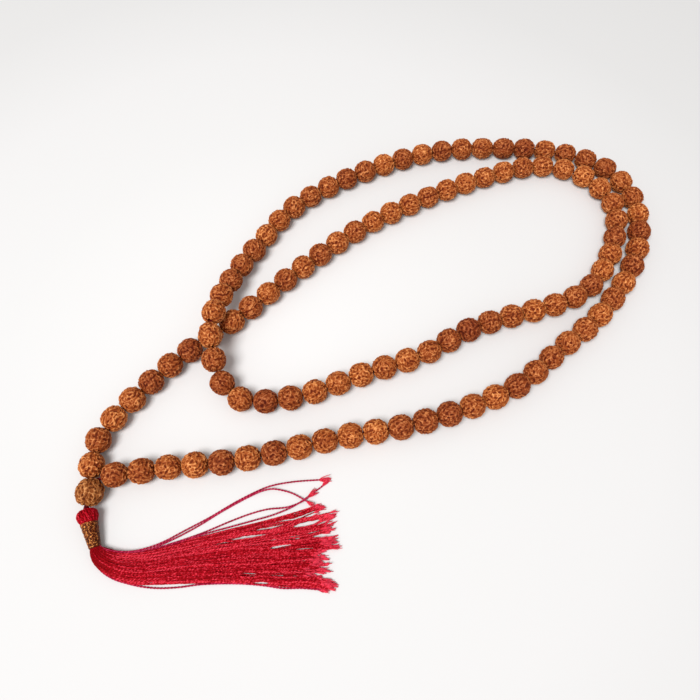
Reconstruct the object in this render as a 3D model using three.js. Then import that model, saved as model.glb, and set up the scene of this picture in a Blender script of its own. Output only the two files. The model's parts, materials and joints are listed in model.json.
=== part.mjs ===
// A mala: 108 rudraksha seed beads, a guru bead and a tassel on one cord, laid down as a double loop.
// Millimetres, +Z up. It lies on the plane z = 0, and its origin is under the middle of its outline.
import * as THREE from 'three';

// ---- driving dimensions

const GAP = 0.3; // between neighbouring pieces

const BEAD_COUNT = 108;
const BEADS_PER_NODE = 2;
const BEAD_RADIUS = 4.05;
const BEAD_BORE_RADIUS = 1.2;
const BEAD_SIDES = 8;
const BEAD_RINGS = [-64, -36, 0, 36, 64]; // latitudes of the rings of corners on one bead, in degrees

const GURU_RADIUS = 4.3;
const GURU_BORE_RADIUS = 1.7;
const GURU_SIDES = 10;
const GURU_RINGS = [-66.7, -45, -22, 0, 22, 45, 66.7];
const GURU_CENTRE = new THREE.Vector3(-95.6, -58.9, 4.3);
const GURU_HEADING = 82; // of its bore, in plan, in degrees from +X

const CORD_RADIUS = 0.5;
const CORD_SIDES = 8;
const STRAND_OFFSET = 0.65; // each end of the cord lies this far beside the guru bead's axis
const STRAND_DEPTH = 1.2; // and ends this far inside the guru bead's lower mouth
const CORD_EXIT = 4.3; // from a bead's centre to where the cord starts to bend
const CORD_EXIT_ROOM = 0.5; // the bend stays at least CORD_EXIT less this from a bead's centre
const MEETING_STEPS = 12; // of the search for where two solids' axes meet
const FIRST_BEAD_AT = 4.6; // along the route
const SLACK = new Map([ // bare cord after a bead
  [8, 1.1], [54, 1.1], [72, 0.6], [78, 0.6], [84, 0.6], [86, 0.6], [88, 0.7], [92, 0.7],
]);

const TASSEL_TOP = new THREE.Vector3(-96.0, -64.1, 3.8); // where the tassel hinges on its neck
const TASSEL_HEADING = -69; // in plan, in degrees from +X
const TASSEL_SLOPE = -7.5; // in degrees, down towards the skirt
const NECK_RADIUS = 0.9;
const NECK_END_RADIUS = 0.35; // it tapers, so that the knob can tip on its end
const NECK_TAPER = 0.6;
const KNOB_RADIUS = 3.3;
const KNOB_END = 4.0; // from the tassel's top, along its axis
const CORE_RADIUS = 0.9;
const WRAP_END = 12.1;
const WRAP_TOP_RADIUS = 2.7;
const WRAP_END_RADIUS = 1.85;
const WRAP_BORE_RADIUS = 1.25;
const TASSEL_SIDES = 12;
const SKIRT_SWING_ROOM = 0.5; // from the wrap's end to the skirt's hinge, and on to the skirt
const SKIRT_START_HALF_WIDTH = 1.75;
const SKIRT_THICKNESS = 2.6;

// The cord's route from bead to bead: out from the guru bead, twice around, and back to it.
const ROUTE = [
  [-96.7, -54.8, 4.0],
  [-95.9, -41.3, 4.0],
  [-80.7, -20.0, 4.0],
  [-70.1, -9.4, 4.0],
  [-55.4, 3.0, 4.0],
  [-37.3, 20.6, 4.0],
  [-11.5, 42.4, 4.0],
  [16.3, 58.4, 4.0],
  [46.9, 71.0, 4.0],
  [62.9, 74.1, 4.0],
  [78.2, 68.9, 4.0],
  [87.2, 56.4, 4.0],
  [87.8, 48.2, 4.0],
  [82.8, 32.0, 4.0],
  [73.8, 18.1, 4.0],
  [67.6, 13.0, 4.0],
  [59.9, 9.4, 4.0],
  [28.3, -0.6, 4.0],
  [10.3, -11.0, 4.0],
  [-9.2, -18.0, 4.0],
  [-34.5, -27.2, 4.0],
  [-51.1, -27.8, 4.2],
  [-57.7, -22.4, 5.8],
  [-62.0, -8.0, 11.2],
  [-61.8, 0.8, 11.4],
  [-57.8, 17.6, 6.8],
  [-50.5, 33.0, 4.3],
  [-36.3, 53.5, 4.0],
  [-8.2, 71.7, 4.0],
  [22.7, 82.3, 4.0],
  [57.2, 83.3, 4.0],
  [73.7, 80.4, 4.0],
  [88.6, 72.1, 4.0],
  [96.1, 56.8, 4.0],
  [94.9, 40.3, 4.0],
  [88.8, 24.5, 4.0],
  [73.1, 3.9, 4.0],
  [58.5, -8.4, 4.0],
  [40.5, -23.2, 4.0],
  [8.8, -35.7, 4.0],
  [-18.9, -41.2, 4.0],
  [-38.9, -46.1, 4.0],
  [-54.3, -49.1, 4.0],
  [-71.5, -50.8, 4.0],
  [-93.5, -54.0, 4.0],
];

// The skirt's outline in plan: each edge runs from beside the wrap to the cut ends of the threads.
const SKIRT_UPPER_EDGE = [
  [-86.5, -76.0],
  [-76.0, -75.6],
  [-60.8, -71.5],
  [-42.8, -66.9],
  [-23.5, -60.6],
];
const SKIRT_LOWER_EDGE = [
  [-91.8, -79.3],
  [-88.1, -82.5],
  [-81.0, -85.2],
  [-69.0, -86.1],
  [-40.5, -86.0],
  [-19.5, -87.6],
];
const SKIRT_END = [[-18.7, -69.2], [-21.5, -76.8]];

// ---- looks

const seedLook = new THREE.MeshStandardMaterial({ color: 0xb0622c, roughness: 0.62, metalness: 0 });
const guruLook = new THREE.MeshStandardMaterial({ color: 0xa06a2c, roughness: 0.62, metalness: 0 });
const cordLook = new THREE.MeshStandardMaterial({ color: 0x9c1426, roughness: 0.8, metalness: 0 });
const threadLook = new THREE.MeshStandardMaterial({ color: 0xc4122e, roughness: 0.6, metalness: 0 });
const goldLook = new THREE.MeshStandardMaterial({ color: 0xb17a36, roughness: 0.4, metalness: 0.6 });

// ---- helpers

const UP = new THREE.Vector3(0, 0, 1);
const mala = new THREE.Group();

function add(name, geometry, look) {
  const mesh = new THREE.Mesh(geometry, look);
  mesh.name = name;
  mala.add(mesh);
  return mesh;
}

function heading(planDegrees, slopeDegrees = 0) {
  const plan = THREE.MathUtils.degToRad(planDegrees);
  const slope = THREE.MathUtils.degToRad(slopeDegrees);
  const level = Math.cos(slope);
  return new THREE.Vector3(level * Math.cos(plan), level * Math.sin(plan), Math.sin(slope));
}

// A turned solid about local +Y. Its profile is a list of [radius, y], and it has a flat facing down.
function turned(profile, sides) {
  const points = profile.map(([radius, y]) => new THREE.Vector2(radius, y));
  return new THREE.LatheGeometry(points, sides, Math.PI / sides);
}

// Places a turned solid so that its local +Y lies along a direction.
function lieAlong(mesh, centre, direction) {
  const side = new THREE.Vector3().crossVectors(direction, UP).normalize();
  const lift = new THREE.Vector3().crossVectors(side, direction);
  mesh.quaternion.setFromRotationMatrix(new THREE.Matrix4().makeBasis(side, direction, lift));
  mesh.position.copy(centre);
}

// The rings of a round bead, as [radius, y], with the bead's centre at y = middle.
function beadRings(radius, latitudes, middle) {
  return latitudes.map((degrees) => {
    const latitude = THREE.MathUtils.degToRad(degrees);
    return [radius * Math.cos(latitude), middle + radius * Math.sin(latitude)];
  });
}

// A bored profile, closed on itself: up the outside, and back down the bore.
function bored(rings, boreRadius) {
  const bottom = rings[0][1];
  const top = rings[rings.length - 1][1];
  return [[boreRadius, bottom], ...rings, [boreRadius, top], [boreRadius, bottom]];
}

// ---- where the beads sit

const routePoints = ROUTE.map((point) => new THREE.Vector3(...point));
const route = new THREE.CatmullRomCurve3(routePoints, false, 'centripetal');
route.arcLengthDivisions = 6000;
const routeLength = route.getLength();

// The bare cord before the bead at this index.
function slackBefore(index) {
  let total = 0;
  for (const [bead, length] of SLACK) total += index >= bead ? length : 0;
  return total;
}

const pitch = (routeLength - 2 * FIRST_BEAD_AT - slackBefore(BEAD_COUNT)) / (BEAD_COUNT - 1);

const beadCentres = Array.from({ length: BEAD_COUNT }, (_, index) => {
  return route.getPointAt((FIRST_BEAD_AT + index * pitch + slackBefore(index)) / routeLength);
});

// ---- the beads, two to a solid: each solid is straight, and is held by its own stretch of cord

const pairRings = [
  ...beadRings(BEAD_RADIUS, BEAD_RINGS, -pitch / 2),
  ...beadRings(BEAD_RADIUS, BEAD_RINGS, pitch / 2),
];
const pairShape = turned(bored(pairRings, BEAD_BORE_RADIUS), BEAD_SIDES);
const pairs = [];

for (let first = 0; first < BEAD_COUNT; first += BEADS_PER_NODE) {
  const start = beadCentres[first];
  const end = beadCentres[first + 1];
  const direction = end.clone().sub(start).normalize();
  const number = String(pairs.length + 1).padStart(2, '0');
  lieAlong(add(`bead_pair_${number}`, pairShape, seedLook), start.clone().lerp(end, 0.5), direction);
  pairs.push({ start, end, direction });
}

// ---- the guru bead, which both ends of the cord pass through

const guruAxis = heading(GURU_HEADING);
const guruSide = new THREE.Vector3().crossVectors(guruAxis, UP);
const guruProfile = bored(beadRings(GURU_RADIUS, GURU_RINGS, 0), GURU_BORE_RADIUS);
const guruHalfLength = guruProfile[guruProfile.length - 2][1];
lieAlong(add('guru_bead', turned(guruProfile, GURU_SIDES), guruLook), GURU_CENTRE, guruAxis);

function inGuru(beside, along) {
  return GURU_CENTRE.clone().addScaledVector(guruSide, beside).addScaledVector(guruAxis, along);
}

// ---- the stringing cord, straight inside each solid and bending between them

class BentLine extends THREE.Curve {
  constructor(points) {
    super();
    this.points = points;
  }

  getPoint(t, target = new THREE.Vector3()) {
    const place = t * (this.points.length - 1);
    const index = Math.min(Math.floor(place), this.points.length - 2);
    return target.lerpVectors(this.points[index], this.points[index + 1], place - index);
  }

  // Each stretch takes an equal share of t, so that every bend falls on a step.
  getPointAt(t, target) {
    return this.getPoint(t, target);
  }

  getTangentAt(t, target = new THREE.Vector3()) {
    const last = this.points.length - 1;
    const index = Math.round(t * last);
    const before = this.points[Math.max(index - 1, 0)];
    const here = this.points[index];
    const after = this.points[Math.min(index + 1, last)];
    const arriving = here.clone().sub(before).normalize();
    const leaving = after.clone().sub(here).normalize();
    return target.addVectors(arriving, leaving).normalize();
  }
}

// Where the axes of two neighbouring solids meet, or nearly meet: found by sliding a point towards both.
function meetingPoint(before, after) {
  const leaving = before.end.clone().addScaledVector(before.direction, CORD_EXIT);
  const entering = after.start.clone().addScaledVector(after.direction, -CORD_EXIT);
  const point = leaving.clone().lerp(entering, 0.5);
  for (let i = 0; i < MEETING_STEPS; i += 1) {
    const along = Math.max(point.clone().sub(leaving).dot(before.direction), -CORD_EXIT_ROOM);
    const back = Math.min(point.clone().sub(entering).dot(after.direction), CORD_EXIT_ROOM);
    const onBefore = leaving.clone().addScaledVector(before.direction, along);
    const onAfter = entering.clone().addScaledVector(after.direction, back);
    point.lerpVectors(onBefore, onAfter, 0.5);
  }
  return point;
}

function cordBends() {
  const first = pairs[0];
  const last = pairs[pairs.length - 1];
  const bends = [
    inGuru(-STRAND_OFFSET, STRAND_DEPTH - guruHalfLength),
    inGuru(-STRAND_OFFSET, guruHalfLength + CORD_RADIUS),
    first.start.clone().addScaledVector(first.direction, -CORD_EXIT),
  ];
  for (let i = 0; i + 1 < pairs.length; i += 1) bends.push(meetingPoint(pairs[i], pairs[i + 1]));
  bends.push(
    last.end.clone().addScaledVector(last.direction, CORD_EXIT),
    inGuru(STRAND_OFFSET, guruHalfLength + CORD_RADIUS),
    inGuru(STRAND_OFFSET, STRAND_DEPTH - guruHalfLength),
  );
  return bends;
}

function cordSection() {
  const corners = Array.from({ length: CORD_SIDES }, (_, i) => {
    const angle = (2 * Math.PI * i) / CORD_SIDES;
    return new THREE.Vector2(CORD_RADIUS * Math.cos(angle), CORD_RADIUS * Math.sin(angle));
  });
  return new THREE.Shape(corners);
}

const bends = cordBends();
const cordShape = new THREE.ExtrudeGeometry(cordSection(), {
  steps: bends.length - 1,
  extrudePath: new BentLine(bends),
});
add('stringing_cord', cordShape, cordLook);

// ---- the tassel: a neck of cord, a knob with a core, a sleeve of wound thread and the skirt

const tasselAxis = heading(TASSEL_HEADING, TASSEL_SLOPE);

function onTassel(along) {
  return TASSEL_TOP.clone().addScaledVector(tasselAxis, along);
}

const neckStart = inGuru(0, -guruHalfLength - GAP);
const neckAxis = TASSEL_TOP.clone().sub(neckStart).normalize();
const neckLength = TASSEL_TOP.distanceTo(neckStart) - GAP / 2;
const neckProfile = [
  [0, 0],
  [NECK_RADIUS, 0],
  [NECK_RADIUS, neckLength - NECK_TAPER],
  [NECK_END_RADIUS, neckLength],
  [0, neckLength],
];
lieAlong(add('tassel_neck', turned(neckProfile, TASSEL_SIDES), cordLook), neckStart, neckAxis);

const knobProfile = [
  [0, GAP / 2],
  [1.1, GAP / 2],
  [2.5, 0.7],
  [KNOB_RADIUS, 1.9],
  [KNOB_RADIUS, 2.7],
  [2.8, KNOB_END],
  [CORE_RADIUS, KNOB_END],
  [CORE_RADIUS, WRAP_END],
  [0, WRAP_END],
];
lieAlong(add('tassel_knob', turned(knobProfile, TASSEL_SIDES), threadLook), TASSEL_TOP, tasselAxis);

const wrapStart = KNOB_END + GAP;
const wrapProfile = [
  [WRAP_BORE_RADIUS, wrapStart],
  [WRAP_TOP_RADIUS, wrapStart],
  [WRAP_END_RADIUS, WRAP_END],
  [WRAP_BORE_RADIUS, WRAP_END],
  [WRAP_BORE_RADIUS, wrapStart],
];
lieAlong(add('thread_wrap', turned(wrapProfile, TASSEL_SIDES), goldLook), TASSEL_TOP, tasselAxis);

const toPlan = ([x, y]) => new THREE.Vector2(x, y);
const skirtStart = onTassel(WRAP_END + 2 * SKIRT_SWING_ROOM);
const skirtSide = new THREE.Vector3().crossVectors(tasselAxis, UP).setLength(SKIRT_START_HALF_WIDTH);
const skirtOutline = new THREE.Shape();
skirtOutline.moveTo(skirtStart.x + skirtSide.x, skirtStart.y + skirtSide.y);
skirtOutline.splineThru(SKIRT_LOWER_EDGE.map(toPlan));
for (const point of [...SKIRT_END].reverse()) skirtOutline.lineTo(...point);
skirtOutline.lineTo(...SKIRT_UPPER_EDGE[SKIRT_UPPER_EDGE.length - 1]);
skirtOutline.splineThru(SKIRT_UPPER_EDGE.slice(0, -1).reverse().map(toPlan));
skirtOutline.lineTo(skirtStart.x - skirtSide.x, skirtStart.y - skirtSide.y);
skirtOutline.closePath();
const skirtShape = new THREE.ExtrudeGeometry(skirtOutline, {
  depth: SKIRT_THICKNESS,
  bevelEnabled: false,
  curveSegments: 4,
});
add('tassel_skirt', skirtShape, threadLook);

export default mala;
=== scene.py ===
import json
import math

import bpy
import numpy as np
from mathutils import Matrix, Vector


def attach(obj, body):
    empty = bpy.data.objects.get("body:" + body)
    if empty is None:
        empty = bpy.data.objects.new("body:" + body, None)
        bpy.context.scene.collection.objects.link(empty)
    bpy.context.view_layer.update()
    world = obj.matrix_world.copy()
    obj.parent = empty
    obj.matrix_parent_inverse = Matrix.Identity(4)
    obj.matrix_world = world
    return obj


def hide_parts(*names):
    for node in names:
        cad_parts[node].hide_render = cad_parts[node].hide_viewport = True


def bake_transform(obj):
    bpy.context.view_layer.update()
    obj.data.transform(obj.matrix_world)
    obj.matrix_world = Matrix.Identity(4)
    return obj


# A mala of rudraksha seeds with a red tassel, laid down as a double loop. Metres, +Z up.

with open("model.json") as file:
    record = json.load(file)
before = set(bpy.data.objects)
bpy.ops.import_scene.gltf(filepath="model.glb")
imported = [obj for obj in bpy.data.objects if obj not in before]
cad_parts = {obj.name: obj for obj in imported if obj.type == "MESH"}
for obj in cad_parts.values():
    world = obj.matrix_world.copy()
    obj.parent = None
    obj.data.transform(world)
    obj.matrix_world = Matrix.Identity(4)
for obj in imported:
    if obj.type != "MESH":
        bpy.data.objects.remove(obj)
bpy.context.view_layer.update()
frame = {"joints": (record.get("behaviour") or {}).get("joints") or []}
joints = {joint["name"]: joint for joint in frame["joints"]}
MM = 0.001
UP = np.array([0.0, 0.0, 1.0])
TURN = 2 * math.pi


# ---- camera

CAMERA_PLACE = (-0.0150, -0.1096, 0.2008)
CAMERA_TILT = math.radians(27)  # from looking straight down
CAMERA_LENS = 32.9  # in mm, and the sensor too
CAMERA_SENSOR = 36


def add_camera():
    data = bpy.data.cameras.new("camera")
    data.lens = CAMERA_LENS
    data.sensor_width = CAMERA_SENSOR
    data.clip_start = 0.01
    data.clip_end = 20
    camera = bpy.data.objects.new("camera", data)
    camera.location = CAMERA_PLACE
    camera.rotation_euler = (CAMERA_TILT, 0, 0)
    bpy.context.scene.collection.objects.link(camera)
    bpy.context.scene.camera = camera


# ---- meshes

def add_piece(name, points, faces, material, values=None, centre=(0, 0, 0)):
    """A mesh piece from row-frame points. faces is a list of arrays, each holding faces of one size. values
    are extra numbers, one for each point, for its material."""
    mesh = bpy.data.meshes.new(name)
    points = np.asarray(points, float) - np.array(centre, float)
    sizes = np.concatenate([np.full(len(group), group.shape[1]) for group in faces])
    corners = np.concatenate([group.ravel() for group in faces])
    mesh.vertices.add(len(points))
    mesh.vertices.foreach_set("co", points.ravel())
    mesh.loops.add(len(corners))
    mesh.loops.foreach_set("vertex_index", corners.astype(np.int32))
    mesh.polygons.add(len(sizes))
    starts = np.concatenate([[0], np.cumsum(sizes)[:-1]])
    mesh.polygons.foreach_set("loop_start", starts.astype(np.int32))
    mesh.polygons.foreach_set("loop_total", sizes.astype(np.int32))
    mesh.update(calc_edges=True)
    mesh.polygons.foreach_set("use_smooth", np.ones(len(sizes), bool))
    for key, numbers in (values or {}).items():
        attribute = mesh.attributes.new(key, "FLOAT", "POINT")
        attribute.data.foreach_set("value", np.asarray(numbers, np.float32).ravel())
    mesh.validate()
    mesh.materials.append(material)
    piece = bpy.data.objects.new(name, mesh)
    piece.location = centre
    bpy.context.scene.collection.objects.link(piece)
    return piece


def grid_faces(rows, columns, first=0):
    """Quads of a grid of points whose rows each close on themselves."""
    row = np.arange(rows - 1)[:, None]
    column = np.arange(columns)[None, :]
    after = (column + 1) % columns
    a = row * columns + column
    b = row * columns + after
    return first + np.stack([a, b, b + columns, a + columns], axis=-1).reshape(-1, 4)


def unit(vectors):
    """The same directions, each with length 1."""
    return vectors / np.maximum(np.linalg.norm(vectors, axis=-1, keepdims=True), 1e-12)


def add_tubes(name, paths, radii, outline, twist, up, material, values):
    """One piece of many tubes along paths (tube, step, xyz). outline is each section's radius round its rim,
    as shares of radii. values are numbers for each tube, or for each step of each tube."""
    count, steps, _ = paths.shape
    sides = len(outline)
    along = unit(np.gradient(paths, axis=1))
    side = unit(np.cross(along, up))
    lift = np.cross(side, along)
    angle = np.arange(sides) * TURN / sides + twist[..., None]
    reach = radii[..., None] * np.asarray(outline)
    points = (
        paths[:, :, None, :]
        + (reach * np.cos(angle))[..., None] * side[:, :, None, :]
        + (reach * np.sin(angle))[..., None] * lift[:, :, None, :]
    )
    offsets = np.arange(count)[:, None] * steps * sides
    quads = (grid_faces(steps, sides)[:, ::-1][None] + offsets[:, :, None]).reshape(-1, 4)
    rim = np.arange(sides)[None]
    faces = [quads, offsets + rim, offsets + (steps - 1) * sides + rim[:, ::-1]]
    # groove: how deep a point lies between the plies, which the thread materials darken as painted shade
    spread = {"groove": np.tile(1 - np.asarray(outline), count * steps)}
    for key, numbers in values.items():
        numbers = np.asarray(numbers, float)
        if numbers.ndim == 1:
            numbers = np.repeat(numbers[:, None], steps, axis=1)
        spread[key] = np.repeat(numbers.ravel(), sides)
    return add_piece(name, points.reshape(-1, 3), faces, material, spread)


STEPS_PER_SPAN = 60  # of a smooth line, between two of the points that it runs through


def smooth_line(points, count):
    """A centripetal Catmull-Rom curve through points, as count evenly spaced points."""
    points = np.asarray(points, float)
    before = 2 * points[0] - points[1]
    after = 2 * points[-1] - points[-2]
    held = np.vstack([before, points, after])
    share = np.linspace(0, 1, STEPS_PER_SPAN, endpoint=False)
    line = []
    for p0, p1, p2, p3 in zip(held, held[1:], held[2:], held[3:]):
        t1 = np.linalg.norm(p1 - p0) ** 0.5
        t2 = t1 + np.linalg.norm(p2 - p1) ** 0.5
        t3 = t2 + np.linalg.norm(p3 - p2) ** 0.5
        t = (t1 + share * (t2 - t1))[:, None]
        a1 = (t1 - t) / t1 * p0 + t / t1 * p1
        a2 = (t2 - t) / (t2 - t1) * p1 + (t - t1) / (t2 - t1) * p2
        a3 = (t3 - t) / (t3 - t2) * p2 + (t - t2) / (t3 - t2) * p3
        b1 = (t2 - t) / t2 * a1 + t / t2 * a2
        b2 = (t3 - t) / (t3 - t1) * a2 + (t - t1) / (t3 - t1) * a3
        line.append((t2 - t) / (t2 - t1) * b1 + (t - t1) / (t2 - t1) * b2)
    line = np.vstack(line + [points[-1:]])
    return evenly(line, count)


def evenly(line, count):
    """count points spaced evenly along a line of points."""
    lengths = np.concatenate([[0], np.cumsum(np.linalg.norm(np.diff(line, axis=0), axis=1))])
    at = np.linspace(0, lengths[-1], count)
    return np.stack([np.interp(at, lengths, line[:, i]) for i in range(line.shape[1])], axis=1)


def length_of(line):
    return float(np.linalg.norm(np.diff(line, axis=0), axis=1).sum())


# ---- materials

class Look:
    """A Principled material, built node by node."""

    def __init__(self, name, roughness=0.6, metallic=0.0, specular=0.5):
        self.material = bpy.data.materials.new(name)
        self.material.use_nodes = True
        self.tree = self.material.node_tree
        self.shader = self.tree.nodes["Principled BSDF"]
        self.shader.inputs["Roughness"].default_value = roughness
        self.shader.inputs["Metallic"].default_value = metallic
        self.shader.inputs["Specular IOR Level"].default_value = specular

    def node(self, kind, **settings):
        made = self.tree.nodes.new(kind)
        for key, value in settings.items():
            setattr(made, key, value)
        return made

    def link(self, output, target):
        self.tree.links.new(output, target)

    def attribute(self, name):
        return self.node("ShaderNodeAttribute", attribute_name=name).outputs["Fac"]

    def noise(self, scale, detail=3.0, roughness=0.55):
        made = self.node("ShaderNodeTexNoise")
        made.inputs["Scale"].default_value = scale
        made.inputs["Detail"].default_value = detail
        made.inputs["Roughness"].default_value = roughness
        where = self.node("ShaderNodeTexCoord")
        self.link(where.outputs["Object"], made.inputs["Vector"])
        return made.outputs["Fac"]

    def ramp(self, value, stops):
        made = self.node("ShaderNodeValToRGB")
        elements = made.color_ramp.elements
        while len(elements) < len(stops):
            elements.new(0.5)
        for element, (place, colour) in zip(elements, stops):
            element.position = place
            element.color = (*colour, 1)
        self.link(value, made.inputs["Fac"])
        return made.outputs["Color"]

    def maths(self, operation, a, b):
        made = self.node("ShaderNodeMath", operation=operation)
        for socket, value in zip(made.inputs, (a, b)):
            if isinstance(value, (int, float)):
                socket.default_value = value
            else:
                self.link(value, socket)
        return made.outputs[0]

    def span(self, value, low, high, new_low, new_high):
        """value from low to high, spread over new_low to new_high and held there outside it."""
        made = self.node("ShaderNodeMapRange")
        for key, number in zip(("From Min", "From Max", "To Min", "To Max"), (low, high, new_low, new_high)):
            made.inputs[key].default_value = number
        self.link(value, made.inputs["Value"])
        return made.outputs["Result"]

    def mix(self, share, a, b, how="MIX"):
        made = self.node("ShaderNodeMix", data_type="RGBA", blend_type=how)
        for socket, value in ((made.inputs[0], share), (made.inputs[6], a), (made.inputs[7], b)):
            if isinstance(value, (int, float)):
                socket.default_value = value
            elif isinstance(value, tuple):
                socket.default_value = (*value, 1)
            else:
                self.link(value, socket)
        return made.outputs[2]

    def colour(self, value):
        self.link(value, self.shader.inputs["Base Color"])

    def rough(self, value):
        self.link(value, self.shader.inputs["Roughness"])

    def bump(self, height, distance, strength=1.0):
        made = self.node("ShaderNodeBump")
        made.inputs["Distance"].default_value = distance
        made.inputs["Strength"].default_value = strength
        self.link(height, made.inputs["Height"])
        self.link(made.outputs["Normal"], self.shader.inputs["Normal"])


def seed_look(name, crevice, middle, crest, dark):
    """Ridged seed, its own browns with painted shade in the crevices and painted highlight on the crests.
    "ridge" is 0 in a crevice and 1 on a crest, and "tone" is 0 on a light bead and 1 on a dark one."""
    look = Look(name, specular=0.16)
    ridge = look.attribute("ridge")
    mottle = look.noise(900, 4)
    height = look.maths("ADD", ridge, look.span(mottle, 0.3, 0.7, -0.10, 0.10))
    # painted shade in the crevices and painted highlight on the crests, over the seed's own colours
    colour = look.ramp(height, [(0.02, crevice), (0.4, middle), (0.85, crest)])
    stain = look.span(look.noise(260, 2), 0.35, 0.7, 0.0, 0.3)
    colour = look.mix(stain, colour, middle)
    share = look.maths("MULTIPLY", look.attribute("tone"), 0.85)
    colour = look.mix(share, colour, dark, "MULTIPLY")
    look.colour(colour)
    look.rough(look.span(height, 0.1, 0.9, 0.85, 0.42))
    look.bump(look.maths("ADD", mottle, look.noise(3200, 2)), distance=0.06 * MM, strength=0.7)
    return look.material


def thread_look(name, deep, full, pale, frayed, roughness=0.5):
    """Twisted silky thread, with painted shade between its plies and painted highlight flecks. "tone" is 0 on
    a deep thread and 1 on a pale one, "groove" is how far a point lies down between the plies, and "tip" is 1
    on a frayed end."""
    look = Look(name, roughness=roughness, specular=0.05)
    look.shader.inputs["Sheen Weight"].default_value = 0.02
    look.shader.inputs["Sheen Roughness"].default_value = 0.4
    look.shader.inputs["Sheen Tint"].default_value = (1.0, 0.25, 0.35, 1)
    # painted highlight: the fibre noise lightens and darkens the colour in small flecks along the threads
    fibre = look.noise(1800, 2)
    share = look.maths("ADD", look.attribute("tone"), look.span(fibre, 0.34, 0.66, -0.65, 0.65))
    colour = look.ramp(share, [(0.0, deep), (0.5, full), (1.0, pale)])
    # painted shade: the colour darkens down between the plies
    colour = look.mix(look.maths("MULTIPLY", look.attribute("groove"), 2.4), colour, deep)
    colour = look.mix(look.attribute("tip"), colour, frayed)
    look.colour(colour)
    look.rough(look.span(fibre, 0.3, 0.7, roughness - 0.12, roughness + 0.15))
    look.bump(look.noise(5200, 2), distance=0.04 * MM, strength=0.8)
    return look.material


def gold_look():
    """Thread wound with metal foil, with painted glints: its colour is bright in noise flecks and brown in
    between.
    """
    look = Look("gold_thread", roughness=0.4, metallic=0.3, specular=0.2)
    # painted highlight: the glint noise brightens the colour in small flecks
    glint = look.noise(2000, 3)
    share = look.maths("ADD", look.attribute("tone"), look.span(glint, 0.36, 0.64, -0.75, 0.75))
    dark, brown, bright = (0.055, 0.008, 0.001), (0.34, 0.066, 0.009), (1.0, 0.42, 0.11)
    colour = look.ramp(share, [(0.0, dark), (0.5, brown), (1.0, bright)])
    # painted shade: the colour darkens down between the plies
    look.colour(look.mix(look.maths("MULTIPLY", look.attribute("groove"), 2.0), colour, dark))
    look.rough(look.span(glint, 0.3, 0.7, 0.28, 0.6))
    look.bump(look.noise(4200, 2), distance=0.04 * MM, strength=0.8)
    return look.material


FRAYED = (0.74, 0.050, 0.095)
# The crest colours below hold painted highlight and the crevice colours painted shade, over the seeds' own
# browns.
SEED = seed_look(
    "seed",
    crevice=(0.11, 0.010, 0.001), middle=(0.36, 0.080, 0.012), crest=(0.92, 0.38, 0.12),
    dark=(0.46, 0.28, 0.27),
)
GURU_SEED = seed_look(
    "guru_seed",
    crevice=(0.07, 0.010, 0.001), middle=(0.27, 0.072, 0.011), crest=(0.72, 0.32, 0.11),
    dark=(0.6, 0.5, 0.4),
)
THREAD = thread_look(
    "red_thread",
    deep=(0.24, 0.0003, 0.003), full=(0.54, 0.002, 0.014), pale=(0.90, 0.055, 0.095), frayed=FRAYED,
)
STRAY = thread_look(
    "stray_thread",
    deep=(0.20, 0.002, 0.018), full=(0.38, 0.006, 0.044), pale=(0.62, 0.045, 0.12), frayed=FRAYED,
)
CORD = thread_look(
    "red_cord",
    deep=(0.05, 0.001, 0.003), full=(0.12, 0.003, 0.009), pale=(0.20, 0.012, 0.020), frayed=FRAYED,
    roughness=0.65,
)
GOLD = gold_look()


# ---- the cord's route from bead to bead: out from the guru bead, twice around, and back to it

ROUTE = [
    (-0.0967, -0.0548, 0.0040),
    (-0.0959, -0.0413, 0.0040),
    (-0.0807, -0.0200, 0.0040),
    (-0.0701, -0.0094, 0.0040),
    (-0.0554, 0.0030, 0.0040),
    (-0.0373, 0.0206, 0.0040),
    (-0.0115, 0.0424, 0.0040),
    (0.0163, 0.0584, 0.0040),
    (0.0469, 0.0710, 0.0040),
    (0.0629, 0.0741, 0.0040),
    (0.0782, 0.0689, 0.0040),
    (0.0872, 0.0564, 0.0040),
    (0.0878, 0.0482, 0.0040),
    (0.0828, 0.0320, 0.0040),
    (0.0738, 0.0181, 0.0040),
    (0.0676, 0.0130, 0.0040),
    (0.0599, 0.0094, 0.0040),
    (0.0283, -0.0006, 0.0040),
    (0.0103, -0.0110, 0.0040),
    (-0.0092, -0.0180, 0.0040),
    (-0.0345, -0.0272, 0.0040),
    (-0.0511, -0.0278, 0.0042),
    (-0.0577, -0.0224, 0.0058),
    (-0.0620, -0.0080, 0.0112),
    (-0.0618, 0.0008, 0.0114),
    (-0.0578, 0.0176, 0.0068),
    (-0.0505, 0.0330, 0.0043),
    (-0.0363, 0.0535, 0.0040),
    (-0.0082, 0.0717, 0.0040),
    (0.0227, 0.0823, 0.0040),
    (0.0572, 0.0833, 0.0040),
    (0.0737, 0.0804, 0.0040),
    (0.0886, 0.0721, 0.0040),
    (0.0961, 0.0568, 0.0040),
    (0.0949, 0.0403, 0.0040),
    (0.0888, 0.0245, 0.0040),
    (0.0731, 0.0039, 0.0040),
    (0.0585, -0.0084, 0.0040),
    (0.0405, -0.0232, 0.0040),
    (0.0088, -0.0357, 0.0040),
    (-0.0189, -0.0412, 0.0040),
    (-0.0389, -0.0461, 0.0040),
    (-0.0543, -0.0491, 0.0040),
    (-0.0715, -0.0508, 0.0040),
    (-0.0935, -0.0540, 0.0040),
]

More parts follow.
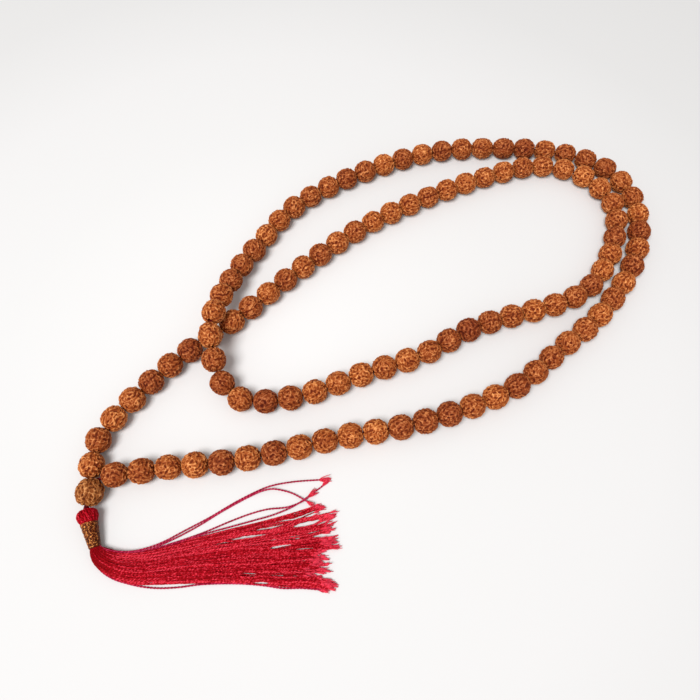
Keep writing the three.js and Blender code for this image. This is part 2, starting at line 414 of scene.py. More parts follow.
CORD_LENGTH = 0.931
CORD_RADIUS = 0.5 * MM
CORD_STEPS = 3000
ROUTE_STEPS = 2600
ROUTE_TRIM = 30  # of those steps, left out at each end, where the strands bend into the guru bead instead
CORD_TURNS_PER_METRE = 340
THREE_PLY = [1 - 0.22 * abs(math.sin(1.5 * TURN * i / 9)) for i in range(9)]  # a section through three plies
STRAND_OFFSET = 0.65 * MM  # of the cord's two ends, beside the guru bead's axis
GURU_HALF = 3.95 * MM  # from the guru bead's middle to the mouths of its bore
STRAND_END = 1.2 * MM - GURU_HALF  # where the cord's ends stop, along the guru bead's axis

guru_centre = np.array(joints["guru_spin"]["pos_m"])
guru_axis = np.array(joints["guru_spin"]["axis"])
guru_side = np.cross(guru_axis, UP)


def in_guru(beside, along):
    """A point beside and along the guru bead's axis."""
    return guru_centre + guru_side * beside + guru_axis * along


def add_stringing_cord():
    """One cord from the guru bead, through every seed, and back into the guru bead."""
    first = [in_guru(-STRAND_OFFSET, STRAND_END), in_guru(-STRAND_OFFSET, GURU_HALF)]
    last = [in_guru(STRAND_OFFSET, GURU_HALF), in_guru(STRAND_OFFSET, STRAND_END)]
    inner = smooth_line(ROUTE, ROUTE_STEPS)[ROUTE_TRIM:-ROUTE_TRIM]
    line = evenly(np.vstack([first, inner, last]), CORD_STEPS)
    twist = np.linspace(0, CORD_LENGTH * CORD_TURNS_PER_METRE * TURN, len(line))[None]
    radii = np.full((1, len(line)), CORD_RADIUS)
    values = {"tone": np.full(1, 0.45), "tip": np.zeros(1)}
    cord = add_tubes("cord", line[None], radii, THREE_PLY, twist, UP, CORD, values)
    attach(cord, "cord_loop")
    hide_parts("stringing_cord")


# ---- beads

def random_waves(points, random, count, wavelength, stretch):
    """A smooth random field with bumps of one size, about as often above 0 as below it."""
    directions = unit(random.normal(size=(count, 3)))
    directions[:, 2] *= stretch
    phases = random.uniform(0, TURN, count)
    return np.cos(points @ directions.T * (TURN / wavelength) + phases).sum(axis=1) * (2 / count) ** 0.5


SEED_FULLNESS = 2.12  # 2 would make the seeds round; above that their shoulders fill out
SEED_POINTED = 1.077  # how far a seed would reach if its ends weren't worn, as a share of how far it does
SEED_RINGS = 80
SEED_SEGMENTS = 160
SEED_RIM = math.radians(79)  # the latitude where the outside turns into the bore
SEED_GROOVES = 5  # from end to end, between the seed's lobes
GROOVE_WIDTH = 0.24 * MM
WARP_SIZE = 3.4 * MM  # of the waves that bend the ridges
WARP_REACH = 0.12 * MM
WORM_SIZE = 1.32 * MM  # from one winding ridge to the next
KNOB_SIZE = 1.5 * MM  # from one knob on the ridges to the next
PIT_SIZE = 1.3 * MM
LUMP_SIZE = 6.0 * MM
RIDGE_DEPTH = 0.52 * MM
LUMP_DEPTH = 0.05 * MM
BORE_STATIONS = (1.0, 0.93, 0.5, 0.0, -0.5, -0.93, -1.0)  # along the bore, as shares of its half length


def seed_shape(random, radius, ends, bore):
    """One ridged seed, with its bore along local +Z: points, quads, and how high each point is, 0 to 1. ends
    says how far its worn ends reach from its middle and how much they lean, in radians, at -Z and then +Z."""
    latitude = np.linspace(-SEED_RIM, SEED_RIM, SEED_RINGS)[:, None]
    longitude = (np.arange(SEED_SEGMENTS) * TURN / SEED_SEGMENTS)[None, :]
    direction = np.stack([
        np.cos(latitude) * np.cos(longitude),
        np.cos(latitude) * np.sin(longitude),
        np.sin(latitude) * np.ones_like(longitude),
    ], axis=-1).reshape(-1, 3)
    rim = np.hypot(direction[:, 0], direction[:, 1])
    upper = (direction[:, 2] > 0).astype(int)
    reach, lean = np.array(ends)[upper].T
    half_length = reach * SEED_POINTED
    tall = np.abs(direction[:, 2])
    full = ((rim / radius) ** SEED_FULLNESS + (tall / half_length) ** SEED_FULLNESS) ** (-1 / SEED_FULLNESS)
    places = direction * full[:, None]
    warp = np.stack([random_waves(places, random, 12, WARP_SIZE, 1.0) for _ in range(3)], axis=1)
    bent = places + warp * WARP_REACH
    worms = np.clip(1 - np.abs(random_waves(bent, random, 60, WORM_SIZE, 0.85)) / 0.62, 0, 1)
    knobs = 0.5 + 0.5 * np.tanh(1.4 * random_waves(bent, random, 60, KNOB_SIZE, 0.9))
    pits = np.clip(random_waves(bent, random, 60, PIT_SIZE, 0.9) - 0.4, 0, 1)
    lumps = np.clip(random_waves(places, random, 10, LUMP_SIZE, 1.0) / 2, -1, 1)
    angle = np.arctan2(direction[:, 1], direction[:, 0]) + 0.08 * warp[:, 0]
    phase = random.uniform(0, TURN)
    around = np.abs((angle * SEED_GROOVES + phase) % TURN - math.pi) / SEED_GROOVES
    groove = np.exp(-(around * rim * radius / GROOVE_WIDTH) ** 2)
    ridge = np.clip(0.38 + 0.62 * worms * (0.55 + 0.45 * knobs) - 0.55 * pits - 0.3 * groove, 0, 1)
    depth = RIDGE_DEPTH * (1 - ridge) + LUMP_DEPTH * (1 - lumps)
    shell = places * (1 - depth / full)[:, None]
    limit = (reach - np.hypot(shell[:, 0], shell[:, 1]) * np.sin(lean)) / np.cos(lean)
    shell[:, 2] = np.clip(shell[:, 2], -limit, limit)
    inner = []
    for share in BORE_STATIONS:
        wall = bore * (1.2 if abs(share) == 1 else 1.0)  # flared at its mouths
        mouth = 0.92 * ends[int(share > 0)][0]
        z = np.full(SEED_SEGMENTS, share * mouth)
        inner.append(np.stack([wall * np.cos(longitude[0]), wall * np.sin(longitude[0]), z], axis=1))
    points = np.vstack([shell, *inner])
    rows = SEED_RINGS + len(inner)
    last = (rows - 1) * SEED_SEGMENTS
    column = np.arange(SEED_SEGMENTS)
    after = (column + 1) % SEED_SEGMENTS
    closing = np.stack([last + column, last + after, after, column], axis=1)
    heights = np.concatenate([ridge, np.zeros(len(inner) * SEED_SEGMENTS)])
    return points, [np.vstack([grid_faces(rows, SEED_SEGMENTS), closing])], heights


def facing(axis, roll):
    """A turn that brings local +Z to axis, after a roll about it."""
    axis = unit(np.asarray(axis, float))
    side = unit(np.cross(axis, UP))
    lift = np.cross(side, axis)
    turn = np.stack([side, lift, axis], axis=1)
    c, s = math.cos(roll), math.sin(roll)
    return turn @ np.array([[c, -s, 0], [s, c, 0], [0, 0, 1]])


BEAD_COUNT = 108
PITCH = 8.365 * MM  # between the two beads of a pair
BEAD_BORE = 0.62 * MM
BEAD_RADII = (4.22, 4.46)  # the least and the most, in mm
BEAD_GAP = 0.03 * MM  # round a bead that another turn of beads lies beside
END_GAP = 0.015 * MM  # short of halfway to the next bead
GURU_SHARE = 0.475  # of the way to the guru bead's middle, that the first and last beads reach
DARK_BEADS = {5: 0.75, 41: 0.95, 82: 0.8, 95: 0.8, 96: 0.7, 108: 0.6}  # tones of beads, by number
GURU_BORE = 1.25 * MM
GURU_RADIUS = 4.52 * MM
GURU_REACH = 4.3 * MM  # from its middle to its worn ends


def bead_places():
    """Each bead's middle and axis, in order along the cord."""
    middles, axes = [], []
    for number in range(1, BEAD_COUNT + 1):
        joint = joints[f"spin_{(number + 1) // 2:02d}"]
        axis = np.array(joint["axis"])
        side = 1 if number % 2 == 0 else -1
        middles.append(np.array(joint["pos_m"]) + axis * PITCH / 2 * side)
        axes.append(axis)
    return np.array(middles), np.array(axes)


def bead_end(middle, heading, neighbour, share):
    """How far a bead reaches towards its neighbour and how much that end leans, to meet it at any turn."""
    gap = np.linalg.norm(neighbour - middle)
    lean = math.acos(min(float(heading @ (neighbour - middle)) / gap, 1.0))
    return gap * share - END_GAP, lean


def add_beads():
    """The 108 counting beads. Two neighbouring beads ride on each pair's body."""
    random = np.random.default_rng(108)
    middles, axes = bead_places()
    line = np.vstack([guru_centre, middles, guru_centre])
    for number in range(1, BEAD_COUNT + 1):
        pair = f"{(number + 1) // 2:02d}"
        middle, axis = middles[number - 1], axes[number - 1]
        back = bead_end(middle, -axis, line[number - 1], GURU_SHARE if number == 1 else 0.5)
        on = bead_end(middle, axis, line[number + 1], GURU_SHARE if number == BEAD_COUNT else 0.5)
        gaps = np.linalg.norm(middles - middle, axis=1)
        beside = np.min(np.delete(gaps, range(max(number - 2, 0), min(number + 1, BEAD_COUNT))))
        radius = min(random.uniform(*BEAD_RADII) * MM, beside / 2 - BEAD_GAP)
        turned = random.choice([-1, 1])
        ends = (back, on) if turned == 1 else (on, back)
        points, faces, heights = seed_shape(random, radius, ends, BEAD_BORE)
        turn = facing(axis * turned, random.uniform(0, TURN))
        tone = DARK_BEADS.get(number, random.beta(1.5, 2.8))
        values = {"ridge": heights, "tone": np.full(len(points), tone)}
        bead = add_piece(f"bead_{number:03d}", middle + points @ turn.T, faces, SEED, values, middle)
        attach(bead, f"bead_pair_{pair}")
        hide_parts(f"bead_pair_{pair}")


def add_guru():
    """The guru bead: larger and yellower, with a bore for the cord's two ends."""
    random = np.random.default_rng(9)
    ends = ((GURU_REACH, 0.0), (GURU_REACH, 0.0))
    points, faces, heights = seed_shape(random, GURU_RADIUS, ends, GURU_BORE)
    turn = facing(guru_axis, 0.4)
    values = {"ridge": heights, "tone": np.full(len(points), 0.2)}
    guru = add_piece("guru_seed", guru_centre + points @ turn.T, faces, GURU_SEED, values, guru_centre)
    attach(guru, "guru")
    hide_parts("guru_bead")


# ---- tassel: a neck of two cord ends, a knob of folded thread, a gold winding and the skirt

TASSEL_SLOPE = math.radians(-7.5)
WRAP_START = 4.15 * MM  # these two are measured along the tassel's axis from its top
WRAP_END = 12.1 * MM
WRAP_TOP_RADIUS = 2.7 * MM
WRAP_END_RADIUS = 1.85 * MM
TWO_PLY = [1.0, 0.86, 0.58, 0.86] * 2  # a section through two plies, side by side
FIBRE = [1.0] * 5
NECK_STRAND_RADIUS = 0.62 * MM
NECK_STRAND_OFFSET = 0.55 * MM
KNOB_CORE = [  # along the tassel's axis, radius, in mm
    (0.7, 0.3), (0.75, 1.2), (1.1, 2.1), (2.0, 2.65), (3.0, 2.6), (4.0, 2.2), (6.0, 1.9), (12.0, 1.2),
]
KNOB_PROFILE = [  # of the threads' middles: out from the neck, over the top and down into the winding, in mm
    (0.8, 0.45), (0.38, 0.8), (0.2, 1.35), (0.38, 2.1), (1.05, 2.75),
    (1.9, 2.98), (2.8, 2.92), (3.5, 2.64), (4.2, 2.36), (5.2, 2.1),
]
KNOB_THREADS = 54
KNOB_THREAD_RADIUS = 0.26 * MM
WRAP_CORE = [(4.1, 2.0), (4.2, 2.45), (12.0, 1.6), (12.1, 1.3)]  # along, radius, in mm
WRAP_TURNS = 18
WRAP_STEPS_PER_TURN = 84
WRAP_GAUGE = 0.235 * MM  # the gold thread's radius
WRAP_TAIL_GAUGE = 0.2 * MM
WRAP_TAIL_STEPS = 60

tassel_top = np.array(joints["tassel_lift"]["pos_m"])
lift_axis = np.array(joints["tassel_lift"]["axis"])
level_axis = np.cross(lift_axis, -UP)
tassel_axis = level_axis * math.cos(TASSEL_SLOPE) + UP * math.sin(TASSEL_SLOPE)
tassel_side = np.cross(tassel_axis, UP) / math.cos(TASSEL_SLOPE)
tassel_lift = np.cross(tassel_side, tassel_axis)


def on_tassel(along, reach=0.0, angle=0.0):
    """Points along the tassel's axis and out from it, at an angle from tassel_side towards tassel_lift."""
    along, reach, angle = np.broadcast_arrays(along, reach, angle)
    return (
        tassel_top
        + along[..., None] * tassel_axis
        + (reach * np.cos(angle))[..., None] * tassel_side
        + (reach * np.sin(angle))[..., None] * tassel_lift
    )


def turned_core(name, profile, material, values):
    """A closed turned body on the tassel's axis. profile is rows of along, radius, in mm."""
    sides = 40
    profile = np.array(profile) * MM
    angle = np.arange(sides) * TURN / sides
    points = on_tassel(profile[:, :1], profile[:, 1:], angle[None]).reshape(-1, 3)
    rim = np.arange(sides)[None]
    faces = [grid_faces(len(profile), sides), rim[:, ::-1], (len(profile) - 1) * sides + rim]
    spread = {key: np.full(len(points), number) for key, number in values.items()}
    return add_piece(name, points, faces, material, spread)


def add_neck():
    """The cord's two ends, twisted together, out of the guru bead and into the knob."""
    share = np.linspace(0, 1, 40)
    start = in_guru(0, 1.0 * MM - GURU_HALF)
    end = on_tassel(np.array(1.1 * MM))
    middle = start * (1 - share[:, None]) + end * share[:, None]
    turn = share[:, None] * 3.2
    beside = NECK_STRAND_OFFSET * (np.cos(turn) * guru_side + np.sin(turn) * UP)
    paths = np.array([middle - beside, middle + beside])
    radii = np.full(paths.shape[:2], NECK_STRAND_RADIUS)
    twist = np.stack([share * 5, share * 5 + 1])
    neck = add_tubes("neck", paths, radii, TWO_PLY, twist, UP, CORD, {"tone": [0.4, 0.5], "tip": [0, 0]})
    on_tassel(np.array(0.0))
    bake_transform(neck)
    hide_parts("tassel_neck")


def add_knob():
    """Threads folded over the tassel's top and down into the gold winding."""
    random = np.random.default_rng(31)
    # painted shade: the core seen between the threads is coloured deep
    core = turned_core("knob_core", KNOB_CORE, THREAD, {"tone": -0.3, "tip": 0.0, "groove": 0.6})
    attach(core, "tassel_head")
    along, radius = (smooth_line(KNOB_PROFILE, 48) * MM).T
    share = np.linspace(0, 1, len(along))
    paths, tone = [], []
    for i in range(KNOB_THREADS):
        place = i * TURN / KNOB_THREADS
        fold = 0.6 * math.sin(13 * place + 0.5) + 0.55 * math.sin(8 * place + 2)
        fold += random.uniform(-0.25, 0.25)
        angle = place + 0.6 * share + 0.06 * np.sin(share * 6 + i * 2.4)
        reach = radius + (0.17 * fold - 0.1) * np.sin(share * math.pi) * MM
        paths.append(on_tassel(along, reach, angle))
        # painted shade: threads down in the pleats' valleys are darker, those on the folds lighter
        tone.append(0.05 + 0.3 * fold + random.uniform(0, 0.2))
    paths = np.array(paths)
    outward = unit(paths - on_tassel(along)[None])
    radii = np.full(paths.shape[:2], KNOB_THREAD_RADIUS)
    twist = np.linspace(0, 14, len(along))[None] + random.uniform(0, 6, (KNOB_THREADS, 1))
    values = {"tone": tone, "tip": np.zeros(KNOB_THREADS)}
    knob = add_tubes("knob_threads", paths, radii, TWO_PLY, twist, outward, THREAD, values)
    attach(knob, "tassel_head")
    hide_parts("tassel_knob")


def wrap_radius(along):
    """The winding's outer radius, which tapers evenly down the tassel's axis."""
    share = (along - WRAP_START) / (WRAP_END - WRAP_START)
    return WRAP_TOP_RADIUS + share * (WRAP_END_RADIUS - WRAP_TOP_RADIUS)


def add_winding():
    """Gold thread wound down the tassel's head, below the knob."""
    # painted shade: the core seen between the turns is coloured dark
    core = turned_core("winding_core", WRAP_CORE, GOLD, {"tone": -0.2, "groove": 0.4})
    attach(core, "tassel_head")
    steps = WRAP_TURNS * WRAP_STEPS_PER_TURN
    share = np.linspace(0, 1, steps)
    angle = share * WRAP_TURNS * TURN
    along = WRAP_START + WRAP_GAUGE + share * (WRAP_END - WRAP_START - 2 * WRAP_GAUGE)
    along = along + 0.05 * MM * np.sin(angle * 0.31)
    reach = WRAP_TOP_RADIUS + share * (WRAP_END_RADIUS - WRAP_TOP_RADIUS) - WRAP_GAUGE
    reach = reach + 0.03 * MM * np.sin(angle * 1.37) + 0.03 * MM * np.sin(angle * 0.23 + 1)
    line = on_tassel(along, reach, angle)
    outward = unit(line - on_tassel(along))
    twist = share[None] * WRAP_TURNS * TURN * 7.37
    tone = 0.38 + 0.18 * np.sin(angle * 2.3) * np.sin(angle * 0.71 + 2)
    tone = tone - 0.3 * np.clip(-outward @ tassel_side, 0, 1)  # painted shade: the side facing away from the lamp is darker
    radii = np.full((1, steps), WRAP_GAUGE)
    values = {"tone": tone[None]}
    winding = add_tubes("winding", line[None], radii, TWO_PLY, twist, outward[None], GOLD, values)
    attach(winding, "tassel_head")
    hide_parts("thread_wrap")


def add_winding_tail():
    """The gold thread's end, laid across the turns and tucked in at both ends."""
    share = np.linspace(0, 1, WRAP_TAIL_STEPS)
    along = (5.2 + 5.6 * share) * MM
    reach = wrap_radius(along) + (0.10 - 0.45 * np.abs(2 * share - 1) ** 6) * MM
    line = on_tassel(along, reach, 1.25 + 0.25 * share)
    twist = share[None] * 40
    radii = np.full((1, WRAP_TAIL_STEPS), WRAP_TAIL_GAUGE)
    tail = add_tubes("winding_tail", line[None], radii, TWO_PLY, twist, UP, GOLD, {"tone": [0.6]})
    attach(tail, "tassel_head")


# ---- the tassel's skirt

# Across the skirt, from inside the winding to past the cut ends: the lower edge and the upper edge in plan,
# how high the threads start, how thick they lie, all in mm, and how round the bundle still is.
inside = on_tassel(np.array(10.2 * MM)) / MM
leaving = on_tassel(WRAP_END) / MM
STATIONS = [
    (*(inside + 1.3 * tassel_side)[:2], *(inside - 1.3 * tassel_side)[:2], inside[2] - 1.3, 2.6, 1.0),
    (*(leaving + 1.45 * tassel_side)[:2], *(leaving - 1.45 * tassel_side)[:2], leaving[2] - 1.45, 2.9, 1.0),
    (-92.9, -77.1, -89.4, -75.0, 0.50, 3.1, 0.9),
    (-92.2, -78.8, -88.4, -75.2, 0.35, 3.2, 0.7),
    (-90.7, -80.6, -87.2, -75.5, 0.26, 3.1, 0.5),
    (-88.0, -82.4, -85.7, -75.9, 0.21, 2.9, 0.3),
    (-84.5, -84.1, -83.4, -76.1, 0.21, 2.7, 0.1),
    (-80.0, -85.3, -79.8, -76.0, 0.21, 2.5, 0.0),
    (-73.5, -85.4, -74.0, -75.3, 0.21, 2.2, 0.0),
    (-64.0, -85.1, -65.0, -72.8, 0.21, 1.9, 0.0),
    (-52.0, -85.0, -53.5, -69.8, 0.21, 1.6, 0.0),
    (-39.0, -85.7, -41.5, -66.9, 0.21, 1.3, 0.0),
    (-27.0, -86.5, -30.0, -63.6, 0.21, 1.0, 0.0),
    (-15.5, -87.8, -19.0, -59.9, 0.21, 0.8, 0.0),
    (-6.5, -88.9, -10.0, -56.6, 0.21, 0.6, 0.0),
]
# Where the skirt has opened up between threads: how far across, from 0 at the lower edge to 1 at the upper,
# the gap's half width, and where it begins and ends along the skirt, in mm.
GAPS = [
    (0.03, 0.35, 9, 23), (0.14, 0.50, 46, 53), (0.03, 0.30, 50, 56), (0.79, 0.60, 43, 57),
    (0.87, 0.60, 49, 64), (0.82, 0.65, 64, 73), (0.57, 0.45, 56, 64), (0.15, 0.60, 69.5, 92),
    (0.25, 0.65, 69, 92), (0.41, 0.65, 69, 92), (0.625, 0.65, 69, 92), (0.77, 0.55, 70, 92),
    (0.90, 0.65, 66, 92),
]
GAPS_TO_THE_END = 90  # gaps that end past this stay open
SKIRT_THREADS = 200
SKIRT_PIECES = 8
SKIRT_STEPS = 340
SKIRT_REACH = 70.0  # along the middle of the skirt, in mm, to where its threads are cut
GOLDEN_SHARE = 0.618034  # spreads the threads' heights evenly
THREAD_LOWEST = 0.2  # of a thread's middle above the floor, in mm
THREAD_RADII = (0.13, 0.215)  # pinched at the winding, and free, in mm
THREAD_TWIST = 3.1  # radians for each mm
RAGGED = (  # how far across, and how much further or less far than SKIRT_REACH the threads run there, in mm
    (0.0, 0.1, 0.17, 0.23, 0.3, 0.4, 0.5, 0.6, 0.68, 0.77, 0.84, 0.93, 1.0),
    (1.0, 0.0, -2.0, 0.5, -0.8, -1.0, 3.0, 3.1, 3.3, 1.5, 2.0, 1.6, 3.6),
)


def skirt_paths(random, across, height, ends, steps):
    """Threads of the skirt. across is 0 at the lower edge and 1 at the upper, height 0 at the bottom and 1 on
    top, and ends is how far each thread runs. Returns the paths and how far along each step is, all in mm."""
    stations = smooth_line(STATIONS, 500)
    middle = (stations[:, 0:2] + stations[:, 2:4]) / 2
    lengths = np.concatenate([[0], np.cumsum(np.linalg.norm(np.diff(middle, axis=0), axis=1))])
    along = np.linspace(0, 1, steps)[None] * ends[:, None]
    at = np.stack([np.interp(along, lengths, stations[:, i]) for i in range(stations.shape[1])], axis=-1)
    lower_edge, upper_edge = at[..., 0:2], at[..., 2:4]
    base, thickness, roundness = at[..., 4], at[..., 5], at[..., 6]
    width = np.linalg.norm(lower_edge - upper_edge, axis=-1)
    loose = np.clip((along - 4) / 60, 0, 1)
    phase = random.uniform(0, TURN, (5, len(across), 1))
    speed = random.uniform(0.6, 1.4, (5, len(across), 1))
    wander = np.sin(along * speed[0] * 0.12 + phase[0]) + 0.45 * np.sin(along * speed[1] * 0.34 + phase[1])
    v = across[:, None] + random.normal(0, 0.03, (len(across), 1)) * loose ** 2
    crossing = random.uniform(0, 1, (len(across), 1)) < 0.02  # a few threads run across the gaps
    moved, calm = np.zeros_like(v), np.ones_like(v)
    for place, half, start, end in GAPS:
        if end < GAPS_TO_THE_END:
            opened = np.sin(math.pi * np.clip((along - start) / (end - start), 0, 1)) ** 0.7
        else:
            opened = np.clip((along - start) / 4, 0, 1)
        off = (v - place) * width
        near = np.exp(-(off / 1.6) ** 2) * opened * ~crossing
        moved += half * near * np.tanh(off / 0.08)
        calm *= 1 - 0.85 * near
    v = np.clip(v + (0.42 * loose ** 0.5 * wander * calm + moved) / width, 0, 1)
    crimp = 0.05 * np.sin(along * speed[2] * 2.1 + phase[2]) * loose ** 0.5
    v = v + crimp / width
    h = np.clip(height[:, None] + 0.15 * loose * np.sin(along * speed[3] * 0.16 + phase[3]), 0, 1)
    level = np.clip(np.abs(2 * v - 1), 0, 1)
    round_shape = np.sqrt(np.clip(1 - level ** 2, 0, 1))
    flat_shape = np.clip(1 - level ** 4, 0, 1) ** 0.5
    shape = roundness * round_shape + (1 - roundness) * flat_shape
    z = base + thickness * (0.5 * roundness * (1 - shape) + h * shape)
    z = z + 0.05 * np.sin(along * speed[4] * 1.9 + phase[4]) * loose
    plan = lower_edge * (1 - v[..., None]) + upper_edge * v[..., None]
    return np.concatenate([plan, np.maximum(z, THREAD_LOWEST)[..., None]], axis=-1), along


def ride_skirt(piece):
    """Bakes piece's transform into its mesh."""
    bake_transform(piece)


def add_tufts(name, paths, tone, random, fibres=7, reach=2.0, fan=0.13, thick=0.17):
    """The frayed cut ends of threads: a few fibres each, fanning out. paths, reach and thick are in mm."""
    steps = 7
    tips = paths[:, -1]
    heading = unit(tips - paths[:, -6])
    side = unit(np.cross(heading, UP))
    lift = np.cross(side, heading)
    share = np.linspace(0, 1, steps)[None, None, :, None]
    count = len(paths)
    spread = random.normal(0, fan, (count, fibres, 1, 1)) * side[:, None, None]
    rise = random.normal(0, 0.75 * fan, (count, fibres, 1, 1)) * lift[:, None, None]
    long = reach * random.uniform(0.65, 1.35, (count, fibres, 1, 1))
    long = long * random.uniform(0.7, 1.2, (count, 1, 1, 1))
    start = tips[:, None, None] - heading[:, None, None] * 0.25 * reach
    lines = start + long * (share * heading[:, None, None] + (spread + rise) * share ** 0.6)
    lines[..., 2] = np.maximum(lines[..., 2], 0.18)
    lines = lines.reshape(count * fibres, steps, 3) * MM
    radii = np.linspace(thick, 0.5 * thick, steps)[None] * MM * np.ones((len(lines), 1))
    twist = np.zeros((len(lines), steps))
    values = {
        "tone": np.repeat(tone, fibres) + random.normal(0, 0.2, len(lines)),
        "tip": np.linspace(0.35, 1.0, steps)[None] * random.uniform(0.5, 1.0, (len(lines), 1)),
    }
    ride_skirt(add_tubes(name, lines, radii, FIBRE, twist, UP, THREAD, values))


def add_skirt():
    """The skirt's threads, a little closer together towards its lower edge, and their cut ends."""
    random = np.random.default_rng(73)
    number = np.arange(SKIRT_THREADS)
    across = np.interp((number + 0.5) / SKIRT_THREADS, [0, 0.64, 0.87, 1.0], [0.0, 0.56, 0.83, 1.0])
    across = np.clip(across + random.normal(0, 0.006, SKIRT_THREADS), 0, 1)
    height = (number * GOLDEN_SHARE) % 1.0
    bunches = np.interp(across, np.linspace(0, 1, 26), random.normal(0, 1.3, 26))
    ends = SKIRT_REACH + np.interp(across, *RAGGED) + bunches + random.normal(0, 0.9, SKIRT_THREADS)
    paths, along = skirt_paths(random, across, height, ends, SKIRT_STEPS)
    radii = np.interp(along, [2, 11], THREAD_RADII) * MM
    twist = along * THREAD_TWIST + random.uniform(0, 6, (SKIRT_THREADS, 1))
    tone = random.uniform(0.1, 1.0, SKIRT_THREADS)
    painted_root_shade = np.clip(1 - (along - 1) / 11, 0, 1)  # painted shade: deeper near the winding, where the threads are packed together
    # painted shade: threads lower in the bundle are darker too
    tones = tone[:, None] - 1.15 * painted_root_shade - 0.3 * (1 - height[:, None]) * (1 - painted_root_shade)
    for group in range(SKIRT_PIECES):
        chosen = number[group::SKIRT_PIECES]
        values = {"tone": tones[chosen], "tip": np.zeros(len(chosen))}
        name = f"skirt_threads_{group + 1}"
        part = add_tubes(name, paths[chosen] * MM, radii[chosen], TWO_PLY, twist[chosen], UP, THREAD, values)
        ride_skirt(part)
        if group == 0:
            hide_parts("tassel_skirt")
    add_tufts("skirt_cut_ends", paths, tone, random)


# Threads that have strayed from the skirt, from inside the winding, through the bundle, to their ends, in mm.
STRAY_STARTS = np.array([10.6, 11.6]) * MM  # along the tassel's axis
UPPER_START = on_tassel(STRAY_STARTS, 1.28 * MM, math.pi) / MM
LOWER_START = on_tassel(STRAY_STARTS, 1.2 * MM, 0.0) / MM
STRAYS = {
    "stray_1": [
        *UPPER_START,
        (-88.4, -75.7, 2.6), (-83.5, -76.3, 1.9), (-79.3, -75.9, 1.4), (-73.1, -73.8, 0.7),
        (-65.4, -69.6, 0.4), (-58.4, -65.7, 0.3), (-50.5, -60.8, 0.3), (-42.9, -57.0, 0.6),
        (-39.3, -55.8, 0.8), (-33.0, -54.6, 0.5), (-26.2, -54.0, 0.3), (-24.2, -53.9, 0.3),
    ],
    "stray_2": [
        *UPPER_START,
        (-88.3, -75.8, 2.3), (-83.3, -76.5, 1.6), (-76.8, -75.8, 1.0), (-69.2, -72.5, 0.5),
        (-61.5, -68.2, 0.3), (-55.0, -64.0, 0.3), (-46.5, -59.2, 0.4), (-42.9, -57.7, 0.9),
        (-39.8, -57.1, 1.2), (-37.1, -57.3, 0.9), (-33.4, -58.2, 0.5), (-29.7, -60.2, 0.8),
        (-27.9, -61.3, 1.0),
    ],
    "stray_3": [
        *UPPER_START,
        (-88.5, -75.8, 2.0), (-83.2, -76.7, 1.3), (-77.3, -76.2, 0.9), (-69.0, -73.6, 0.6),
        (-65.1, -72.3, 0.5), (-59.7, -70.3, 0.4), (-52.1, -67.0, 0.3), (-46.1, -64.7, 0.3),
        (-41.0, -63.3, 0.3), (-34.3, -62.6, 0.6), (-29.7, -60.8, 0.9), (-27.6, -59.1, 0.7),
    ],
    "stray_4": [
        *UPPER_START,
        (-88.6, -75.9, 1.7), (-83.1, -76.9, 1.1), (-77.3, -76.5, 0.8), (-69.0, -73.9, 0.6),
        (-59.7, -70.9, 0.6), (-51.1, -68.6, 0.9), (-44.4, -66.8, 1.1), (-39.2, -65.3, 1.1),
        (-33.7, -63.0, 1.0), (-29.7, -60.5, 0.7), (-27.0, -58.3, 0.4), (-24.5, -56.5, 0.3),
        (-23.2, -55.4, 0.3),
    ],
    "stray_5": [
        *LOWER_START,
        (-92.5, -77.8, 1.2), (-89.6, -81.4, 0.9), (-85.4, -83.9, 0.7), (-81.0, -85.2, 0.4),
        (-76.5, -86.1, 0.25), (-71.2, -86.5, 0.25), (-65.3, -86.2, 0.25), (-59.5, -85.5, 0.5),
        (-52.0, -85.2, 0.4), (-46.0, -85.3, 0.3), (-40.0, -85.8, 0.25), (-35.0, -86.5, 0.25),
        (-29.0, -86.5, 0.3), (-23.0, -87.0, 0.3),
    ],
}
STRAY_STEPS = 300
STRAY_RADIUS = 0.3 * MM


def add_strays():
    """The threads that have strayed from the skirt, and their cut ends."""
    random = np.random.default_rng(12)
    strands = []
    for name, places in STRAYS.items():
        line = smooth_line(places, STRAY_STEPS)
        strands.append(line)
        length = length_of(line) * MM
        radii = np.full((1, STRAY_STEPS), STRAY_RADIUS)
        twist = np.linspace(0, length / MM * THREAD_TWIST, STRAY_STEPS)[None]
        values = {"tone": [random.uniform(0.6, 0.9)], "tip": [0.0]}
        stray = add_tubes(name, line[None] * MM, radii, TWO_PLY, twist, UP, STRAY, values)
        ride_skirt(stray)
    tone = np.full(len(strands), 0.6)
    add_tufts(
        "stray_cut_ends", np.array(strands), tone, random,
        fibres=24, reach=2.7, fan=0.19, thick=0.16,
    )


# ---- floor and light

FLOOR_HALF = 3.0
FLOOR_MIDDLE = (-0.045, 0.0, 0.0)
FLOOR_FADE = 0.3  # how far from its middle the floor darkens
# Painted pool of light: the floor's colours, lighter at its middle and darker outwards.
FLOOR_PALES = [  # from its middle out to there
    (0.0, (0.745, 0.739, 0.735)),
    (0.3, (0.686, 0.680, 0.676)),
    (0.47, (0.672, 0.664, 0.662)),
    (0.67, (0.622, 0.616, 0.612)),
    (1.0, (0.60, 0.594, 0.59)),
]


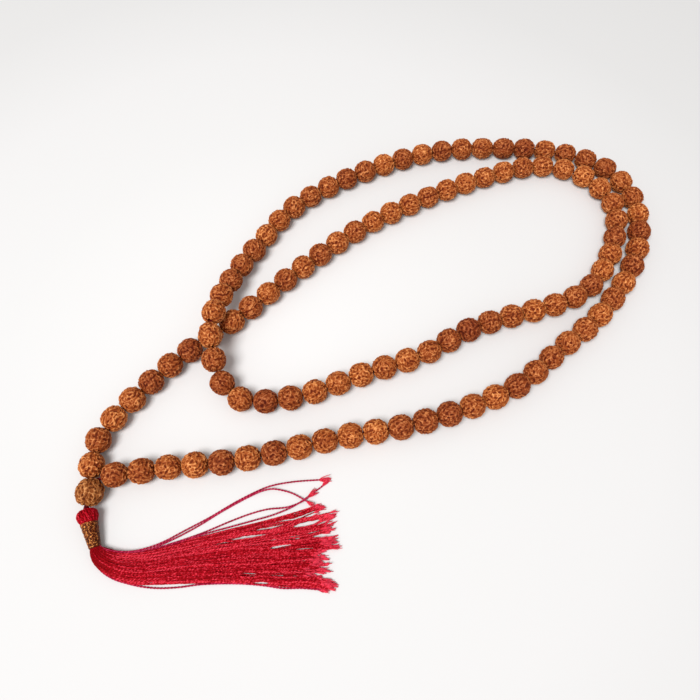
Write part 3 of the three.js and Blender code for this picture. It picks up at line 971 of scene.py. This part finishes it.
def add_floor():
    """A pale floor with a painted pool of light: its colour darkens a little away from its middle."""
    mesh = bpy.data.meshes.new("floor")
    half = FLOOR_HALF
    corners = [(-half, -half, 0), (half, -half, 0), (half, half, 0), (-half, half, 0)]
    mesh.from_pydata(corners, [], [(0, 1, 2, 3)])
    look = Look("floor", roughness=0.9, specular=0.1)
    where = look.node("ShaderNodeTexCoord")
    away = look.node("ShaderNodeVectorMath", operation="DISTANCE")
    away.inputs[1].default_value = FLOOR_MIDDLE
    look.link(where.outputs["Object"], away.inputs[0])
    faded = look.span(away.outputs["Value"], 0, FLOOR_FADE, 0, 1)
    cloud = look.span(look.noise(3, 2), 0.3, 0.7, -0.02, 0.02)
    look.colour(look.ramp(look.maths("ADD", faded, cloud), FLOOR_PALES))
    mesh.materials.append(look.material)
    floor = bpy.data.objects.new("floor", mesh)
    bpy.context.scene.collection.objects.link(floor)


LAMP_PLACE = Vector((-0.72, -0.98, 2.34))
LAMP_AIM = Vector((-0.02, 0.0, 0.0))
LAMP_SIZE = 1.25
LAMP_POWER = 69.0
WORLD_COLOUR = (1.0, 0.99, 0.98, 1)
WORLD_STRENGTH = 0.54


def add_lamp():
    """One big soft lamp, high up on the left and in front."""
    data = bpy.data.lights.new("key", "AREA")
    data.shape = "DISK"
    data.size = LAMP_SIZE
    data.energy = LAMP_POWER
    lamp = bpy.data.objects.new("key", data)
    lamp.location = LAMP_PLACE
    lamp.rotation_euler = (LAMP_AIM - LAMP_PLACE).to_track_quat("-Z", "Y").to_euler()
    bpy.context.scene.collection.objects.link(lamp)


def add_world():
    """Even light from all round."""
    world = bpy.data.worlds.new("studio")
    world.use_nodes = True
    background = world.node_tree.nodes["Background"]
    background.inputs["Color"].default_value = WORLD_COLOUR
    background.inputs["Strength"].default_value = WORLD_STRENGTH
    bpy.context.scene.world = world


add_camera()
add_stringing_cord()
add_beads()
add_guru()
add_neck()
add_knob()
add_winding()
add_winding_tail()
add_skirt()
add_strays()
add_floor()
add_lamp()
add_world()
bpy.context.scene.view_settings.view_transform = "Standard"
